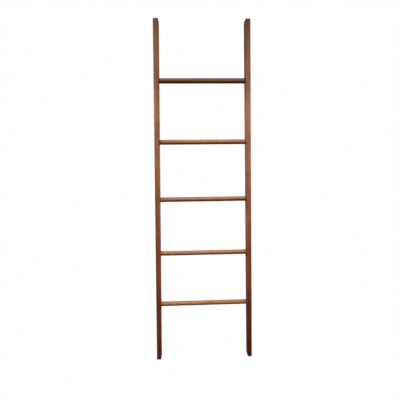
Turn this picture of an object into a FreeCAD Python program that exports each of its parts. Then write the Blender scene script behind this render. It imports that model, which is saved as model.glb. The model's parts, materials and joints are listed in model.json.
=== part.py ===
import FreeCAD, Part
import os

import Sketcher

# A blanket ladder: two flat rails, a little wider apart at the floor than at the top, and round
# rungs glued into blind sockets in the rails' inner faces. Millimetres.
# +Z runs up the ladder, X across it and -Y out of its front. The origin is on the floor, midway
# between the feet.

sizes = (
    ("overall_height", 1524, "floor to the rails' top ends"),
    ("base_width", 467, "outside to outside of the rails at the floor"),
    ("top_width", 393, "outside to outside of the rails at the top ends"),
    ("rail_thickness", 21, "rail seen from the front, square to its length"),
    ("rail_depth", 38, "rail from front face to rear face"),
    ("long_edge_radius", 3, "rounding along a rail's four long edges"),
    ("end_rim_radius", 2, "rounding round a rail's top end and foot"),
    ("rung_count", 5, "rungs"),
    ("rung_diameter", 21, "plain dowel"),
    ("rung_end_chamfer", 1.5, "lead-in at each end of a dowel"),
    ("lowest_rung_height", 283, "floor to the lowest rung's centre"),
    ("top_rung_drop", 233, "highest rung's centre to the rails' top ends"),
    ("socket_depth", 12, "inner face of a rail to the flat bottom of a socket"),
    ("socket_clearance", 0.1, "glue film between a dowel and the wall of its socket"),
)

doc = FreeCAD.newDocument("blanket_ladder")
sheet = doc.addObject("Spreadsheet::Sheet", "Sizes")
for row, (name, value, meaning) in enumerate(sizes, 1):
    sheet.set(f"A{row}", meaning)
    sheet.set(f"B{row}", str(value))
    sheet.setAlias(f"B{row}", name)
doc.recompute()

rung_count = int(sheet.get("rung_count"))
square_limit = 0.001  # an edge that extends less than this in a direction is square to it

# Formulas on the sheet's values. A height is a formula too, measured up from the floor.
base_half = "Sizes.base_width / 2"
top_half = "Sizes.top_width / 2"
splay_slope = f"(({base_half} - {top_half}) / Sizes.overall_height)"
rail_width_across = f"Sizes.rail_thickness * sqrt(1 + {splay_slope} ^ 2)"
rung_span = "(Sizes.overall_height - Sizes.top_rung_drop - Sizes.lowest_rung_height)"


def rung_height(index):
    return f"(Sizes.lowest_rung_height + {index} * {rung_span} / {rung_count - 1})"


def socket_bottom(index):
    """Distance from the ladder's centreline to the flat bottom of a rung's socket."""
    outer_face = f"({base_half} - {splay_slope} * {rung_height(index)})"
    return f"{outer_face} - {rail_width_across} + Sizes.socket_depth"


def new_body(label):
    body = doc.addObject("PartDesign::Body", label)
    body.Label = label
    return body


def new_sketch(body, role, name):
    """An empty sketch on one of the body's own origin planes."""
    plane = [part for part in body.Origin.OriginFeatures if part.Role == role][0]
    sketch = body.newObject("Sketcher::SketchObject", name)
    sketch.AttachmentSupport = [(plane, "")]
    sketch.MapMode = "FlatFace"
    return sketch


def bind(sketch, constraint, formula):
    number = sketch.addConstraint(constraint)
    sketch.setExpression(f"Constraints[{number}]", formula)


def draw_circle(sketch, radius, height=None):
    """A circle on the sketch's vertical axis, at a height or on the sketch's origin."""
    start_height = 1 if height else 0
    center = FreeCAD.Vector(0, start_height, 0)
    circle = sketch.addGeometry(Part.Circle(center, FreeCAD.Vector(0, 0, 1), 1), False)
    if height:
        sketch.addConstraint(Sketcher.Constraint("PointOnObject", circle, 3, -2))
        bind(sketch, Sketcher.Constraint("DistanceY", -1, 1, circle, 3, start_height), height)
    else:
        sketch.addConstraint(Sketcher.Constraint("Coincident", circle, 3, -1, 1))
    bind(sketch, Sketcher.Constraint("Radius", circle, 1), radius)


def draw_rail_front(sketch, side):
    """The rail seen from the front. Its sides splay, and both of its ends lie level."""
    height = sheet.get("overall_height")
    outer_foot = side * sheet.get("base_width") / 2
    outer_top = side * sheet.get("top_width") / 2
    across = side * sheet.get("rail_thickness")
    corners = [
        FreeCAD.Vector(outer_foot, 0, 0),
        FreeCAD.Vector(outer_foot - across, 0, 0),
        FreeCAD.Vector(outer_top - across, height, 0),
        FreeCAD.Vector(outer_top, height, 0),
    ]
    foot, inner, top, outer = [
        sketch.addGeometry(Part.LineSegment(start, end), False)
        for start, end in zip(corners, corners[1:] + corners[:1])
    ]
    for line, following in ((foot, inner), (inner, top), (top, outer), (outer, foot)):
        sketch.addConstraint(Sketcher.Constraint("Coincident", line, 2, following, 1))
    sketch.addConstraint(Sketcher.Constraint("PointOnObject", foot, 1, -1))
    sketch.addConstraint(Sketcher.Constraint("Horizontal", foot))
    sketch.addConstraint(Sketcher.Constraint("Horizontal", top))
    sketch.addConstraint(Sketcher.Constraint("Parallel", inner, outer))
    for line, formula in ((foot, base_half), (outer, top_half)):
        ends = (-1, 1, line, 1) if side > 0 else (line, 1, -1, 1)
        bind(sketch, Sketcher.Constraint("DistanceX", *ends, abs(outer_foot)), formula)
    bind(sketch, Sketcher.Constraint("DistanceY", -1, 1, outer, 1, height), "Sizes.overall_height")
    bind(sketch, Sketcher.Constraint("Distance", inner, 1, outer, abs(across)), "Sizes.rail_thickness")


def runs_up(edge):
    box = edge.BoundBox
    return box.ZLength > box.XLength + box.YLength


def lies_level(edge):
    return edge.BoundBox.ZLength < square_limit


def crosses_dowel(edge):
    return edge.BoundBox.XLength < square_limit


def work_edges(body, kind, name, solid, chosen, size, formula):
    """Rounds or chamfers those edges of the solid for which chosen(edge) holds."""
    feature = body.newObject(f"PartDesign::{kind}", name)
    edges = [f"Edge{number}" for number, edge in enumerate(solid.Shape.Edges, 1) if chosen(edge)]
    feature.Base = (solid, edges)
    feature.setExpression(size, formula)
    doc.recompute()
    return feature


def make_rail(label, side):
    """One rail: +1 is the one on +X, -1 its mirror image."""
    body = new_body(label)
    front = new_sketch(body, "XZ_Plane", f"{label}_front")
    draw_rail_front(front, side)
    board = body.newObject("PartDesign::Pad", f"{label}_board")
    board.Profile = front
    board.SideType = "Symmetric"
    board.setExpression("Length", "Sizes.rail_depth")
    doc.recompute()
    eased = work_edges(
        body, "Fillet", f"{label}_long_edges", board, runs_up, "Radius", "Sizes.long_edge_radius"
    )
    work_edges(
        body, "Fillet", f"{label}_end_rims", eased, lies_level, "Radius", "Sizes.end_rim_radius"
    )
    for index in range(rung_count):
        bore_socket(body, label, side, index)
    return body


def bore_socket(body, label, side, index):
    """A blind round socket, bored from the ladder's centreline square to it, so that the two
    sockets of a rung line up although the rails splay."""
    volume_before = body.Shape.Volume
    mouth = new_sketch(body, "YZ_Plane", f"{label}_socket_{index + 1}_mouth")
    draw_circle(mouth, "Sizes.rung_diameter / 2 + Sizes.socket_clearance", rung_height(index))
    socket = body.newObject("PartDesign::Pocket", f"{label}_socket_{index + 1}")
    socket.Profile = mouth
    socket.Reversed = side > 0
    socket.setExpression("Length", socket_bottom(index))
    doc.recompute()
    if body.Shape.Volume >= volume_before:
        raise ValueError(f"socket {index + 1} of {label} cuts nothing")


def make_rung(index):
    """A dowel that reaches from the bottom of one socket to the bottom of the other."""
    label = f"rung_{index + 1}"
    body = new_body(label)
    section = new_sketch(body, "YZ_Plane", f"{label}_section")
    draw_circle(section, "Sizes.rung_diameter / 2")
    dowel = body.newObject("PartDesign::Pad", f"{label}_dowel")
    dowel.Profile = section
    dowel.SideType = "Symmetric"
    dowel.setExpression("Length", f"2 * ({socket_bottom(index)})")
    doc.recompute()
    work_edges(
        body, "Chamfer", f"{label}_lead_in", dowel, crosses_dowel, "Size", "Sizes.rung_end_chamfer"
    )
    body.setExpression("Placement.Base.z", rung_height(index))
    return body


parts = [make_rail("left_rail", -1), make_rail("right_rail", 1)]
parts += [make_rung(index) for index in range(rung_count)]
doc.recompute()

for item in doc.Objects:
    if "Invalid" in item.State or "Error" in item.State:
        raise ValueError(f"{item.Label} failed: {item.State}")
for part in parts:
    if part.Shape.isNull() or not part.Shape.isValid() or len(part.Shape.Solids) != 1:
        raise ValueError(f"{part.Label} isn't one sound solid")

os.makedirs("parts", exist_ok=True)
for part in parts:
    part.Shape.exportStep(f"parts/{part.Label}.step")
    box = part.Shape.BoundBox
    size = f"{box.XLength:.1f} x {box.YLength:.1f} x {box.ZLength:.1f} mm"
    print(f"{part.Label}: {size}, {part.Shape.Volume / 1000:.1f} cm3")
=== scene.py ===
import json
import math

import bpy
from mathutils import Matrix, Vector


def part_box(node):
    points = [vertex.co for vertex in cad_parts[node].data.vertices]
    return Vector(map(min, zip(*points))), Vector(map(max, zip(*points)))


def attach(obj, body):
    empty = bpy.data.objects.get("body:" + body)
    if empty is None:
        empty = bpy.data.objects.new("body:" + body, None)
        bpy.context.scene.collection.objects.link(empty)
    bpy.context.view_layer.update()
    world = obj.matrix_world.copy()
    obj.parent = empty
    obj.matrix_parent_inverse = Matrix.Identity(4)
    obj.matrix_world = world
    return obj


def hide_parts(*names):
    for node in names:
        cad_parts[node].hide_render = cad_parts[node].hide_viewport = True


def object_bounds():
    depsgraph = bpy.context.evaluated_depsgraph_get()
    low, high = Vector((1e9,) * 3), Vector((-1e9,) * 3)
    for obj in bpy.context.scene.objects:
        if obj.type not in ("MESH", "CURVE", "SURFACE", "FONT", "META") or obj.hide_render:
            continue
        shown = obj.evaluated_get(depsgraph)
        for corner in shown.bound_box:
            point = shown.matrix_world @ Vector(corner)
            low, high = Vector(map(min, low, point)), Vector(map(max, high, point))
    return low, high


# Blanket ladder in stained wood: two flat rails and round rungs. Metres, front towards -Y, floor at z = 0.
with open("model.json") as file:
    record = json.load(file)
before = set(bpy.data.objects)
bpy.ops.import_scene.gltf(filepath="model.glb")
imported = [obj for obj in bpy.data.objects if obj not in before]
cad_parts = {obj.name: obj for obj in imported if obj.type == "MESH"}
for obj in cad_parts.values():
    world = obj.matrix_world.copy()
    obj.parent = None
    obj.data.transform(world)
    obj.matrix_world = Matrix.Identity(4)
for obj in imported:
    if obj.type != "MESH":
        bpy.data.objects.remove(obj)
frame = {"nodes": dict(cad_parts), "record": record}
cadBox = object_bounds()
print("frame loaded:", ", ".join(sorted(frame["nodes"])))

mounts = {mount["name"]: mount for mount in frame["record"]["mounts"]}
rungNodes = sorted(name for name in frame["nodes"] if name.startswith("rung_"))
railHeight = cadBox[1].z
railDepth = cadBox[1].y - cadBox[0].y
footX = mounts["right_foot"]["pos_m"][0]
wallFace = mounts["right_wall_face"]["pos_m"]
splay = (footX - wallFace[0]) / wallFace[2]  # how far a rail closes in, per metre of its height
splayAngle = math.atan(splay)
rungRadius = mounts["rung_1_bar"]["dims"]["r_mm"] / 1000
rungHeights = [mounts[f"{name}_bar"]["pos_m"][2] for name in rungNodes]
tiny = 0.00002  # points closer than this lie on the same edge or face


# Modelling helpers, all on the active piece

def freshPiece(name):
    piece = bpy.context.active_object
    piece.name = name
    piece.data.name = name
    bpy.ops.object.transform_apply(location=True, rotation=True, scale=True)
    return piece


def selectOnly(piece):
    bpy.ops.object.select_all(action="DESELECT")
    piece.select_set(True)
    bpy.context.view_layer.objects.active = piece


def pick(piece, kind, wanted):
    # wanted is given a face's middle and normal, or an edge's two ends
    bpy.ops.object.mode_set(mode="EDIT")
    bpy.ops.mesh.select_mode(type=kind)
    bpy.ops.mesh.select_all(action="DESELECT")
    bpy.ops.object.mode_set(mode="OBJECT")
    mesh = piece.data
    if kind == "FACE":
        for face in mesh.polygons:
            face.select = wanted(face.center, face.normal)
    else:
        for edge in mesh.edges:
            edge.select = wanted(*(mesh.vertices[index].co for index in edge.vertices))
    bpy.ops.object.mode_set(mode="EDIT")


def crossCuts(lowest, highest, spacing, direction):
    # Even cuts square to a direction, so that the sanding has something to bend
    count = round((highest - lowest) / spacing)
    bpy.ops.object.mode_set(mode="EDIT")
    for cut in range(1, count):
        place = Vector(direction) * (lowest + (highest - lowest) * cut / count)
        bpy.ops.mesh.select_all(action="SELECT")
        bpy.ops.mesh.bisect(plane_co=place, plane_no=direction)
    bpy.ops.object.mode_set(mode="OBJECT")


def handSand(piece, depth, patch, directions):
    # The faces come out of sanding very slightly off flat
    for direction in directions:
        hollows = bpy.data.textures.new(f"{piece.name}{direction}Sanding", "CLOUDS")
        hollows.noise_scale = patch
        sanding = piece.modifiers.new("sanding", "DISPLACE")
        sanding.texture = hollows
        sanding.texture_coords = "LOCAL"
        sanding.direction = direction
        sanding.mid_level = 0.5
        sanding.strength = depth
        bpy.ops.object.modifier_apply(modifier="sanding")


def smoothFaces(piece, angle=30):
    selectOnly(piece)
    bpy.ops.object.shade_smooth_by_angle(angle=math.radians(angle))
    weighting = piece.modifiers.new("weighting", "WEIGHTED_NORMAL")
    weighting.keep_sharp = True
    bpy.ops.object.modifier_apply(modifier="weighting")


def finishPiece(piece, node):
    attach(piece, "root")
    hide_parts(node)
    print(f"{piece.name}: {len(piece.data.polygons)} faces")


# Rails

rail = {
    "thickness": 0.021,  # seen from the front, square to its length
    "longEdgeRadius": 0.003,
    "endRimRadius": 0.002,
    "roundSteps": 6,
    "cutSpacing": 0.03,
    "sandingDepth": 0.0003,
    "sandingPatch": 0.09,
    "socketDepth": 0.012,  # from the inner face to the flat bottom
    "socketClearance": 0.0001,
    "socketSides": 72,
    "mouthEase": 0.0005,
    "mouthSteps": 2,
}
railAcross = rail["thickness"] / math.cos(splayAngle)


def railMiddle(z):
    return footX - splay * z


def innerFace(z):
    return railMiddle(z) - railAcross / 2


def makeRail(name, side, node):
    bpy.ops.object.select_all(action="DESELECT")
    bpy.ops.mesh.primitive_cube_add(
        size=1, location=(side * footX, 0, railHeight / 2), scale=(railAcross, railDepth, railHeight)
    )
    board = freshPiece(name)
    pick(board, "FACE", lambda middle, normal: middle.z > railHeight - tiny)
    bpy.ops.transform.translate(value=(-side * splay * railHeight, 0, 0))  # the top closes in
    crossCuts(0, railHeight, rail["cutSpacing"], (0, 0, 1))

    def runsUp(start, end):
        corners = all(abs(abs(point.y) - railDepth / 2) < tiny for point in (start, end))
        return corners and abs(end.z - start.z) > abs(end.x - start.x) + tiny

    def roundsEnd(start, end):
        return max(start.z, end.z) < tiny or min(start.z, end.z) > railHeight - tiny

    pick(board, "EDGE", runsUp)
    bpy.ops.mesh.bevel(
        offset=rail["longEdgeRadius"], segments=rail["roundSteps"], affect="EDGES", clamp_overlap=False
    )
    pick(board, "EDGE", roundsEnd)
    bpy.ops.mesh.bevel(
        offset=rail["endRimRadius"], segments=rail["roundSteps"], affect="EDGES", clamp_overlap=False
    )
    bpy.ops.object.mode_set(mode="OBJECT")
    handSand(board, rail["sandingDepth"], rail["sandingPatch"], ("X", "Y"))
    boreSockets(board, side)
    smoothFaces(board)
    finishPiece(board, node)
    return board


def boreSockets(board, side):
    bits = []
    socketRadius = rungRadius + rail["socketClearance"]
    for z in rungHeights:
        start = innerFace(z) - rail["socketDepth"]  # clear of the rail, in the bay
        bottom = innerFace(z) + rail["socketDepth"]
        bpy.ops.object.select_all(action="DESELECT")
        bpy.ops.mesh.primitive_cylinder_add(
            vertices=rail["socketSides"],
            radius=socketRadius,
            depth=bottom - start,
            location=(side * (start + bottom) / 2, 0, z),
            rotation=(0, math.pi / 2, 0),
        )
        bits.append(freshPiece("socketBit"))
    for bit in bits:
        bit.select_set(True)
    bpy.ops.object.join()
    drill = bpy.context.active_object
    selectOnly(board)
    boring = board.modifiers.new("boring", "BOOLEAN")
    boring.operation = "DIFFERENCE"
    boring.solver = "EXACT"
    boring.object = drill
    bpy.ops.object.modifier_apply(modifier="boring")
    bpy.data.objects.remove(drill)

    def onMouth(start, end):
        for point in (start, end):
            z = min(rungHeights, key=lambda height: abs(height - point.z))
            offRim = abs(math.hypot(point.y, point.z - z) - socketRadius)
            offFace = abs(abs(point.x) - innerFace(point.z))
            if offRim > tiny or offFace > rail["sandingDepth"]:
                return False
        return True

    pick(board, "EDGE", onMouth)
    bpy.ops.mesh.bevel(
        offset=rail["mouthEase"], segments=rail["mouthSteps"], affect="EDGES", clamp_overlap=False
    )
    bpy.ops.object.mode_set(mode="OBJECT")


leftRail = makeRail("leftRail", -1, "left_rail")
rightRail = makeRail("rightRail", 1, "right_rail")


# Rungs

rung = {
    "sides": 72,
    "endChamfer": 0.0015,  # lead-in at each end, hidden in the socket
    "cutSpacing": 0.02,
    "sandingDepth": 0.0001,
    "sandingPatch": 0.03,
}


def makeRung(name, node):
    low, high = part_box(node)
    bpy.ops.object.select_all(action="DESELECT")
    bpy.ops.mesh.primitive_cylinder_add(
        vertices=rung["sides"],
        radius=rungRadius,
        depth=high.x - low.x,
        location=((low.x + high.x) / 2, 0, (low.z + high.z) / 2),
        rotation=(0, math.pi / 2, 0),
    )
    dowel = freshPiece(name)
    pick(dowel, "EDGE", lambda start, end: abs(end.x - start.x) < tiny)
    bpy.ops.mesh.bevel(offset=rung["endChamfer"], segments=1, affect="EDGES")
    crossCuts(low.x, high.x, rung["cutSpacing"], (1, 0, 0))
    handSand(dowel, rung["sandingDepth"], rung["sandingPatch"], ("Y", "Z"))
    smoothFaces(dowel)
    finishPiece(dowel, node)
    return dowel


rungs = [makeRung(f"rung{number}", node) for number, node in enumerate(rungNodes, 1)]


# Stained wood

grain = {
    # The size of each pattern across the grain and along it, and its noise
    "wander": {"across": 0.09, "along": 0.5, "detail": 2, "roughness": 0.5},
    "fibres": {"across": 0.0011, "along": 0.06, "detail": 4, "roughness": 0.62},
    "pores": {"across": 0.00045, "along": 0.007, "detail": 1, "roughness": 0.5},
    "streaks": {"across": 0.0065, "along": 0.42, "detail": 3, "roughness": 0.55},
    "mottle": {"across": 0.035, "along": 0.07, "detail": 1, "roughness": 0.5},
    "mean": 0.5,  # of each of these patterns
    "seasonScale": 0.6,
    "seasonShift": 1.6,  # rings that a run of good years moves the next ones by
    "ringProfile": [(0, 0), (0.45, 0.12), (0.86, 1), (0.95, 0.75), (1, 0)],  # from early to late wood
    "faintestRing": 0.45,
    "poreEdge": (0.63, 0.74),  # noise levels at which a pore begins and is full
}
stain = {
    "deep": (0.280, 0.070, 0.024, 1),
    "tone": 1.04,  # of plain wood, before its pattern
    "swings": {"Fibres": 0.55, "Streaks": 1.1, "Mottle": 0.4},  # of the tone, about each one's mean
    # Soak darkens soaked end grain, and on a rung it is painted shade by the rails
    "darkens": {"Rings": 0.2, "Pores": 0.2, "Soak": 0.3},
    "depthPerTone": 0.8,  # what the hue deepens by where the tone is lower
    "darkest": 0.15,
    "ragged": {"across": 0.002, "along": 0.02, "detail": 2, "roughness": 0.5},  # edge of a soaked end
    # Places along a piece, in half lengths from its middle
    "shadeRise": (-1, 0),  # from the foot's shade to the middle's
    "depthRise": (-0.7, 0.6),  # from the foot's depth to the middle's
    "topRise": (0.5, 1),  # from the middle's shade and depth to the top's
    "fullLightFrom": 0.4,  # of the spacing, from a joint to where the painted light between joints is full
    "toneRange": (0.4, 1.4),
    "roughness": (0.65, 0.49),  # at the two ends of that range
    "ior": 1.5,
    "poreDip": -0.8,
    "bumpStrength": 0.5,
    "grainDepth": 0.00015,
}


def newGroup(name, inputs, outputs):
    group = bpy.data.node_groups.new(name, "ShaderNodeTree")
    for side, sockets in (("INPUT", inputs), ("OUTPUT", outputs)):
        for label, kind in sockets:
            group.interface.new_socket(name=label, in_out=side, socket_type=f"NodeSocket{kind}")
    return group, group.nodes.new("NodeGroupInput"), group.nodes.new("NodeGroupOutput")


def addNode(tree, kind, values=(), **settings):
    # values holds (socket, value or the output that drives it)
    node = tree.nodes.new(f"ShaderNode{kind}")
    for setting, choice in settings.items():
        setattr(node, setting, choice)
    for socket, value in values:
        if isinstance(value, bpy.types.NodeSocket):
            tree.links.new(value, node.inputs[socket])
        else:
            node.inputs[socket].default_value = value
    return node


def calculate(tree, operation, *values, clamp=False):
    node = addNode(tree, "Math", list(enumerate(values)), operation=operation, use_clamp=clamp)
    return node.outputs[0]


def calculateVector(tree, operation, *values, output="Vector"):
    node = addNode(tree, "VectorMath", list(enumerate(values)), operation=operation)
    return node.outputs[output]


def noise(tree, stick, pattern, output="Fac"):
    # Drawn out along the grain, which is z on the stick
    perMetre = (1 / pattern["across"], 1 / pattern["across"], 1 / pattern["along"])
    values = [
        ("Vector", calculateVector(tree, "MULTIPLY", stick, perMetre)),
        ("Scale", 1),
        ("Detail", pattern["detail"]),
        ("Roughness", pattern["roughness"]),
    ]
    return addNode(tree, "TexNoise", values).outputs[output]


def ramp(tree, factor, stops):
    node = addNode(tree, "ValToRGB", [("Fac", factor)])
    elements = node.color_ramp.elements
    while len(elements) < len(stops):
        elements.new(0.5)
    for element, (place, level) in zip(elements, stops):
        element.position = place
        element.color = (level, level, level, 1)
    return node.outputs["Color"]


def remap(tree, value, fromLow, fromHigh, toLow=0, toHigh=1):
    # Smoothly from one level to the other, and level beyond both ends
    ends = [(1, fromLow), (2, fromHigh), (3, toLow), (4, toHigh)]
    node = addNode(tree, "MapRange", [("Value", value)] + ends, interpolation_type="SMOOTHSTEP")
    return node.outputs["Result"]


def makeGrainGroup():
    # Growth rings about a pith beside the stick, and fibres, pores and stain streaks along it
    group, start, end = newGroup(
        "woodGrain",
        [
            ("Stick", "Vector"),  # z along the grain, metres
            ("Pith", "Vector"),
            ("Seed", "Vector"),
            ("Ring Width", "Float"),
            ("Wander", "Float"),
        ],
        [(name, "Float") for name in ("Rings", "Fibres", "Pores", "Streaks", "Mottle")],
    )
    inputs = start.outputs
    seeded = calculateVector(group, "ADD", inputs["Stick"], inputs["Seed"])
    slow = noise(group, seeded, grain["wander"], "Color")
    swing = calculateVector(group, "SUBTRACT", slow, (grain["mean"],) * 3)
    swing = calculateVector(group, "MULTIPLY", swing, inputs["Wander"])
    fromPith = calculateVector(group, "SUBTRACT", inputs["Stick"], inputs["Pith"])
    fromPith = calculateVector(group, "ADD", fromPith, swing)
    across = calculateVector(group, "MULTIPLY", fromPith, (1, 1, 0))
    radius = calculateVector(group, "LENGTH", across, output="Value")
    ringCount = calculate(group, "DIVIDE", radius, inputs["Ring Width"])
    seasons = addNode(
        group, "TexNoise", [("W", ringCount), ("Scale", grain["seasonScale"])], noise_dimensions="1D"
    )
    ringCount = calculate(group, "MULTIPLY_ADD", seasons.outputs["Fac"], grain["seasonShift"], ringCount)
    profile = ramp(group, calculate(group, "FRACT", ringCount), grain["ringProfile"])
    year = addNode(
        group, "TexWhiteNoise", [("W", calculate(group, "FLOOR", ringCount))], noise_dimensions="1D"
    )
    strength = remap(group, year.outputs["Value"], 0, 1, grain["faintestRing"], 1)
    pores = remap(group, noise(group, seeded, grain["pores"]), *grain["poreEdge"])
    group.links.new(calculate(group, "MULTIPLY", profile, strength), end.inputs["Rings"])
    group.links.new(noise(group, seeded, grain["fibres"]), end.inputs["Fibres"])
    group.links.new(pores, end.inputs["Pores"])
    group.links.new(noise(group, seeded, grain["streaks"]), end.inputs["Streaks"])
    group.links.new(noise(group, seeded, grain["mottle"]), end.inputs["Mottle"])
    return group


def makeToneGroup():
    # The stain's colour from the grain. Late wood, pores and soaked ends are dark, a rung's soaked ends by
    # the rails being painted shade, and where the tone is low the hue goes from the piece's pale one to the
    # deep one
    group, start, end = newGroup(
        "stainTone",
        [
            ("Rings", "Float"),
            ("Fibres", "Float"),
            ("Pores", "Float"),
            ("Streaks", "Float"),
            ("Mottle", "Float"),
            ("Soak", "Float"),
            ("Shade", "Float"),
            ("Depth", "Float"),
            ("Pale", "Color"),
            ("Deep", "Color"),
        ],
        [("Color", "Color"), ("Tone", "Float")],
    )
    inputs = start.outputs
    tone = stain["tone"]
    for pattern, swing in stain["swings"].items():
        offMean = calculate(group, "SUBTRACT", inputs[pattern], grain["mean"])
        tone = calculate(group, "MULTIPLY_ADD", offMean, swing, tone)
    for pattern, loss in stain["darkens"].items():
        tone = calculate(group, "MULTIPLY_ADD", inputs[pattern], -loss, tone)
    lack = calculate(group, "SUBTRACT", 1, tone)
    depth = calculate(group, "MULTIPLY_ADD", lack, stain["depthPerTone"], inputs["Depth"], clamp=True)
    hue = addNode(
        group,
        "Mix",
        [("Factor", depth), (6, inputs["Pale"]), (7, inputs["Deep"])],
        data_type="RGBA",
    )
    tone = calculate(group, "MULTIPLY", tone, inputs["Shade"])
    tone = calculate(group, "MAXIMUM", tone, stain["darkest"])
    color = calculateVector(group, "MULTIPLY", hue.outputs[2], tone)
    group.links.new(color, end.inputs["Color"])
    group.links.new(tone, end.inputs["Tone"])
    return group


def makeSoakGroup():
    # End grain drinks more stain, and so does the wood just behind it; at a rung's ends, by the rails, that
    # darkening is painted shade. Shade and depth of the colour change from the foot over the middle to the
    # top, with painted shade at a rail's foot and partly painted sheen in its middle. On a rail the colour is
    # also darker round each joint, painted shade, and lighter between two of them, painted light
    group, start, end = newGroup(
        "endSoakAndShade",
        [
            ("Stick", "Vector"),
            ("Half Length", "Float"),
            ("Middle", "Float"),
            ("Reach", "Float"),
            ("Low Shade", "Float"),
            ("Middle Shade", "Float"),
            ("High Shade", "Float"),
            ("Low Depth", "Float"),
            ("Middle Depth", "Float"),
            ("High Depth", "Float"),
            ("First Joint", "Float"),
            ("Joint Spacing", "Float"),
            ("Joint Shade", "Float"),
        ],
        [("Soak", "Float"), ("Shade", "Float"), ("Depth", "Float")],
    )
    inputs = start.outputs
    along = addNode(group, "SeparateXYZ", [(0, inputs["Stick"])]).outputs["Z"]
    fromMiddle = calculate(group, "SUBTRACT", along, inputs["Middle"])
    fromEnd = calculate(group, "SUBTRACT", inputs["Half Length"], calculate(group, "ABSOLUTE", fromMiddle))
    # A rung's ends lie at the rails, so this darkening there is painted shade at the joints
    ragged = calculate(group, "DIVIDE", noise(group, inputs["Stick"], stain["ragged"]), grain["mean"])
    reach = calculate(group, "MULTIPLY", inputs["Reach"], ragged)
    soak = remap(group, calculate(group, "DIVIDE", fromEnd, reach), 0, 1, 1, 0)

    place = calculate(group, "DIVIDE", fromMiddle, inputs["Half Length"])
    nearTop = remap(group, place, *stain["topRise"])

    # Darker at a rail's foot, painted shade, and lighter and paler in its middle, partly painted sheen
    def alongPiece(name, rise):
        lower = remap(group, place, *rise, inputs[f"Low {name}"], inputs[f"Middle {name}"])
        change = calculate(group, "SUBTRACT", inputs[f"High {name}"], inputs[f"Middle {name}"])
        return calculate(group, "MULTIPLY_ADD", nearTop, change, lower)

    # Painted shade round each joint of a rail, where the rungs shade it, and painted light between two joints
    spacings = calculate(group, "SUBTRACT", along, inputs["First Joint"])
    spacings = calculate(group, "DIVIDE", spacings, inputs["Joint Spacing"])
    fromJoint = calculate(group, "PINGPONG", spacings, 0.5)  # 0 at a joint, 0.5 halfway to the next
    shadedAtJoint = calculate(group, "SUBTRACT", 1, inputs["Joint Shade"])
    litMidBay = calculate(group, "ADD", 1, inputs["Joint Shade"])
    jointShading = remap(group, fromJoint, 0, stain["fullLightFrom"], shadedAtJoint, litMidBay)
    shade = calculate(group, "MULTIPLY", alongPiece("Shade", stain["shadeRise"]), jointShading)
    group.links.new(soak, end.inputs["Soak"])
    group.links.new(shade, end.inputs["Shade"])
    group.links.new(alongPiece("Depth", stain["depthRise"]), end.inputs["Depth"])
    return group


grainGroup = makeGrainGroup()
toneGroup = makeToneGroup()
soakGroup = makeSoakGroup()


def stainPiece(piece, stick):
    # stick says how the piece lies in its timber and how it took the stain, and carries the painted light and
    # shade along it
    wood = bpy.data.materials.new(f"{piece.name}Wood")
    wood.use_nodes = True
    tree = wood.node_tree
    shader = tree.nodes["Principled BSDF"]
    place = addNode(tree, "TexCoord").outputs["Object"]
    along = addNode(
        tree, "Mapping", [("Vector", place), ("Location", stick["location"]), ("Rotation", stick["rotation"])]
    )
    along = along.outputs["Vector"]
    pattern = addNode(
        tree,
        "Group",
        [
            ("Stick", along),
            ("Pith", stick["pith"]),
            ("Seed", stick["seed"]),
            ("Ring Width", stick["ringWidth"]),
            ("Wander", stick["wander"]),
        ],
        node_tree=grainGroup,
    )
    levels = []
    for index, name in enumerate(("Low", "Middle", "High")):
        levels.append((f"{name} Shade", stick["shades"][index]))
        levels.append((f"{name} Depth", stick["depths"][index]))
    soak = addNode(
        tree,
        "Group",
        [
            ("Stick", along),
            ("Half Length", stick["halfLength"]),
            ("Middle", stick["middle"]),
            ("Reach", stick["soakAndShadeReach"]),
            ("First Joint", rungHeights[0]),
            ("Joint Spacing", rungHeights[1] - rungHeights[0]),
            ("Joint Shade", stick["jointShade"]),
        ] + levels,
        node_tree=soakGroup,
    )
    tone = addNode(
        tree,
        "Group",
        [(name, pattern.outputs[name]) for name in ("Rings", "Fibres", "Pores", "Streaks", "Mottle")]
        + [(name, soak.outputs[name]) for name in ("Soak", "Shade", "Depth")]
        + [("Pale", stick["pale"]), ("Deep", stain["deep"])],
        node_tree=toneGroup,
    )
    tree.links.new(tone.outputs["Color"], shader.inputs["Base Color"])
    dullness = remap(tree, tone.outputs["Tone"], *stain["toneRange"], *stain["roughness"])
    tree.links.new(dullness, shader.inputs["Roughness"])
    shader.inputs["IOR"].default_value = stain["ior"]
    shader.inputs["Specular IOR Level"].default_value = stick["shine"]
    height = calculate(
        tree, "MULTIPLY_ADD", pattern.outputs["Pores"], stain["poreDip"], pattern.outputs["Fibres"]
    )
    bump = addNode(
        tree,
        "Bump",
        [("Height", height), ("Strength", stain["bumpStrength"]), ("Distance", stain["grainDepth"])],
    )
    tree.links.new(bump.outputs["Normal"], shader.inputs["Normal"])
    piece.data.materials.clear()
    piece.data.materials.append(wood)


railTimber = {
    "wander": 0.005,
    # darker round each joint and lighter between joints: painted shade and painted light
    "jointShade": 0.13,
    "soakAndShadeReach": 0.005,
    "shine": 0.25,  # specular level of the thin satin coat
}
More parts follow.
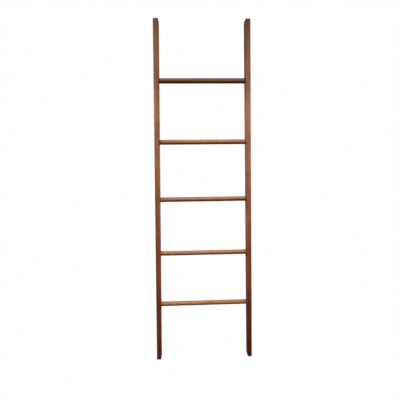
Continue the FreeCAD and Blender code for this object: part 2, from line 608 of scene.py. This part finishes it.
# The shades are darker at the foot, painted shade where the light falls off towards the floor, lighter in the
# middle with the depths' paler hue there, partly painted sheen, and darker at the top
railCuts = {
    "leftRail": {
        "side": -1,
        "pith": (0.055, 0.012, 0),
        "seed": (6.4, 0.0, 4.5),
        "ringWidth": 0.0026,
        "pale": (0.280, 0.118, 0.046, 1),
        "shades": (0.87, 1.08, 0.98),  # at the foot, in the middle, at the top
        "depths": (1.0, 0.05, 0.4),  # of the stain's colour, at the same places
    },
    "rightRail": {
        "side": 1,
        "pith": (-0.048, -0.02, 0),
        "seed": (2.2, 6.7, 6.1),
        "ringWidth": 0.0031,
        "pale": (0.280, 0.113, 0.054, 1),
        "shades": (0.65, 1.12, 0.84),
        "depths": (1.1, 0.0, 0.2),
    },
}
for board in (leftRail, rightRail):
    railCut = railCuts[board.name]
    footOut = railCut["side"] * footX
    halfLength = railHeight / 2 / math.cos(splayAngle)
    stainPiece(board, {
        **railTimber,
        **railCut,
        "location": (-footOut * math.cos(splayAngle), 0, footOut * math.sin(splayAngle)),
        "rotation": (0, railCut["side"] * splayAngle, 0),
        "halfLength": halfLength,
        "middle": halfLength,
    })

rungTimber = {
    "ringWidth": 0.0022,
    "wander": 0.003,
    "pale": (0.280, 0.122, 0.043, 1),
    "jointShade": 0,
    # the darker rung ends by the rails are painted shade at the joints
    "soakAndShadeReach": 0.014,
    "shine": 0.4,
}
rungCuts = {
    "pithDistance": 0.03,
    "turn": 2.4,  # radians from one rung to the next, so that no two show the same face
    "firstSeed": (7.3, 0, 0),
    "nextSeed": (1.9, 3.1, 0.8),
    # Painted light from above: lighter on the low rungs and darker on the top one
    "shades": (1.44, 1.25, 1.03, 1.05, 0.77),  # from the lowest rung to the highest
    "depths": (0.1, 0.0, 0.3, 0.2, 0.8),
}
for index, dowel in enumerate(rungs):
    low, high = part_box(rungNodes[index])
    turn = rungCuts["turn"] * index
    pithDistance = rungCuts["pithDistance"]
    stainPiece(dowel, {
        **rungTimber,
        "location": (rungHeights[index], 0, 0),
        "rotation": (0, -math.pi / 2, 0),
        "pith": (pithDistance * math.cos(turn), pithDistance * math.sin(turn), 0),
        "seed": Vector(rungCuts["firstSeed"]) + Vector(rungCuts["nextSeed"]) * index,
        "halfLength": (high.x - low.x) / 2 - rail["socketDepth"],
        "middle": (low.x + high.x) / 2,
        "shades": (rungCuts["shades"][index],) * 3,
        "depths": (rungCuts["depths"][index],) * 3,
    })
print("stained wood on", 2 + len(rungs), "pieces")


# Floor, lights and camera

studio = {
    "floorSize": 12,
    "white": 1.0,  # what the camera sees of floor and background, a sweep lit to pure white
    "floorBounce": 0.02,  # what the floor throws back at the ladder
    "softboxes": {
        "leftBox": {"power": 22, "size": 0.8, "place": (-1.8, 0, 1.3), "aim": (0, 0, 0.9)},
        "rightBox": {"power": 24, "size": 0.8, "place": (1.8, 0, 1.3), "aim": (0, 0, 0.9)},
        # High in front, with grids that keep their light narrow
        "leftGrid": {"power": 2.3, "size": 0.5, "place": (-0.5, -0.6, 1.9), "aim": (0, 0, 0.3), "spread": 70},
        "rightGrid": {"power": 3.0, "size": 0.5, "place": (0.5, -0.8, 1.9), "aim": (0, 0, 0.3), "spread": 70},
        "frontGrid": {"power": 0.8, "size": 0.8, "place": (0, -1.5, 1.9), "aim": (0, 0, 1.3), "spread": 60},
        # Behind, for the rear faces
        "leftBackBox": {"power": 13, "size": 0.8, "place": (-1.7, 2, 0.9), "aim": (0, 0, 0.8)},
        "rightBackBox": {"power": 13, "size": 0.8, "place": (1.7, 2, 0.9), "aim": (0, 0, 0.8)},
    },
}

bpy.ops.object.select_all(action="DESELECT")
bpy.ops.mesh.primitive_plane_add(size=studio["floorSize"])
floor = bpy.context.active_object
floor.name = "floor"


def paintFloor():
    # Pure white to the camera, and nearly black to the ladder, so that it lifts no shadow
    paper = bpy.data.materials.new("paleFloor")
    paper.use_nodes = True
    tree = paper.node_tree
    tree.nodes.remove(tree.nodes["Principled BSDF"])
    seen = addNode(tree, "Emission", [("Color", (1, 1, 1, 1)), ("Strength", studio["white"])])
    bounce = addNode(tree, "BsdfDiffuse", [("Color", (studio["floorBounce"],) * 3 + (1,))])
    direct = addNode(tree, "LightPath").outputs["Is Camera Ray"]
    both = addNode(tree, "MixShader", [(0, direct), (1, bounce.outputs[0]), (2, seen.outputs[0])])
    tree.links.new(both.outputs[0], tree.nodes["Material Output"].inputs["Surface"])
    floor.data.materials.append(paper)


def paintWorld():
    world = bpy.data.worlds.new("studioWhite")
    bpy.context.scene.world = world
    world.use_nodes = True
    tree = world.node_tree
    tree.nodes.remove(tree.nodes["Background"])
    direct = addNode(tree, "LightPath").outputs["Is Camera Ray"]
    seen = addNode(tree, "Background", [("Strength", calculate(tree, "MULTIPLY", direct, studio["white"]))])
    seen.inputs["Color"].default_value = (1, 1, 1, 1)
    tree.links.new(seen.outputs[0], tree.nodes["World Output"].inputs["Surface"])


def hangLight(name, settings):
    bpy.ops.object.light_add(type="AREA", location=settings["place"])
    lamp = bpy.context.active_object
    lamp.name = name
    lamp.data.energy = settings["power"]
    lamp.data.shape = "SQUARE"
    lamp.data.size = settings["size"]
    lamp.data.spread = math.radians(settings.get("spread", 180))
    lamp.visible_camera = False
    aim = Vector(settings["aim"]) - Vector(settings["place"])
    lamp.rotation_euler = aim.to_track_quat("-Z", "Y").to_euler()


paintFloor()
paintWorld()
for name, settings in studio["softboxes"].items():
    hangLight(name, settings)

view = {
    # Close in front, at about two thirds of the ladder's height
    "place": (-0.0557, -1.1887, 0.9738),
    "turn": (80.89, 0.59, -2.08),  # degrees
    "lens": 24.03,
    "sensor": 36,
}
bpy.ops.object.camera_add(location=view["place"], rotation=[math.radians(angle) for angle in view["turn"]])
camera = bpy.context.active_object
camera.name = "camera"
camera.data.lens = view["lens"]
camera.data.sensor_width = view["sensor"]
bpy.context.scene.camera = camera
bpy.context.scene.view_settings.view_transform = "Standard"
print("floor, lights and camera placed")
